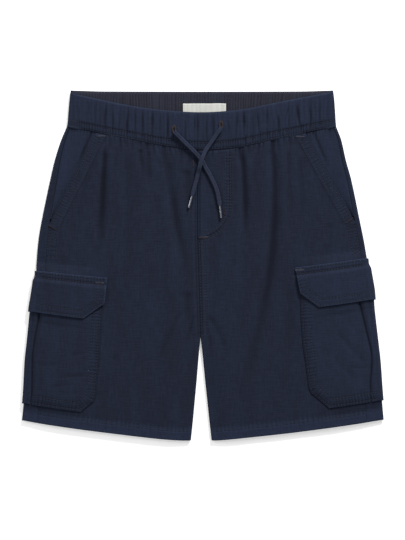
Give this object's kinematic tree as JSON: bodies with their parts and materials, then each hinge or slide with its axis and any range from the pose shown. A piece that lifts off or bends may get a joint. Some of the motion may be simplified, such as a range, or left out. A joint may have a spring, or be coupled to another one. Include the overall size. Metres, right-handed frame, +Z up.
{
  "type": "cargo shorts",
  "caption": "Child's pull-on cargo shorts laid flat, with an elastic waistband, drawstring, slanted hip pockets and flapped cargo pockets on the side seams.",
  "frame": {"origin": "centre of the box round the shorts without the free drawstring ends, on the surface that they lie on", "axes": "+X across the waist towards the right side of the picture, +Y from the hems towards the waistband, +Z up from the surface that the back lies on"},
  "size_m": [0.3803, 0.3678, 0.0133],
  "materials": {
    "cotton": "matt navy cotton canvas",
    "cord": "soft flat navy cotton cord",
    "eyelet_thread": "dark brown stitching",
    "label": "pale woven tape, bare",
    "aglet_metal": "bright metal"
  },
  "bodies": {
    "root": {"front_left": "cotton", "front_right": "cotton", "back_left": "cotton", "back_right": "cotton", "hip_left": "cotton", "hip_right": "cotton", "waistband_front": "cotton", "waistband_back": "cotton", "cargo_pocket_left": "cotton", "cargo_pocket_right": "cotton", "cargo_flap_left": "cotton", "cargo_flap_right": "cotton", "label": "label", "eyelet_left": "eyelet_thread", "eyelet_right": "eyelet_thread", "drawstring_left": "cord", "drawstring_right": "cord", "aglet_left": "aglet_metal", "aglet_right": "aglet_metal"}
  },
  "joints": []
}
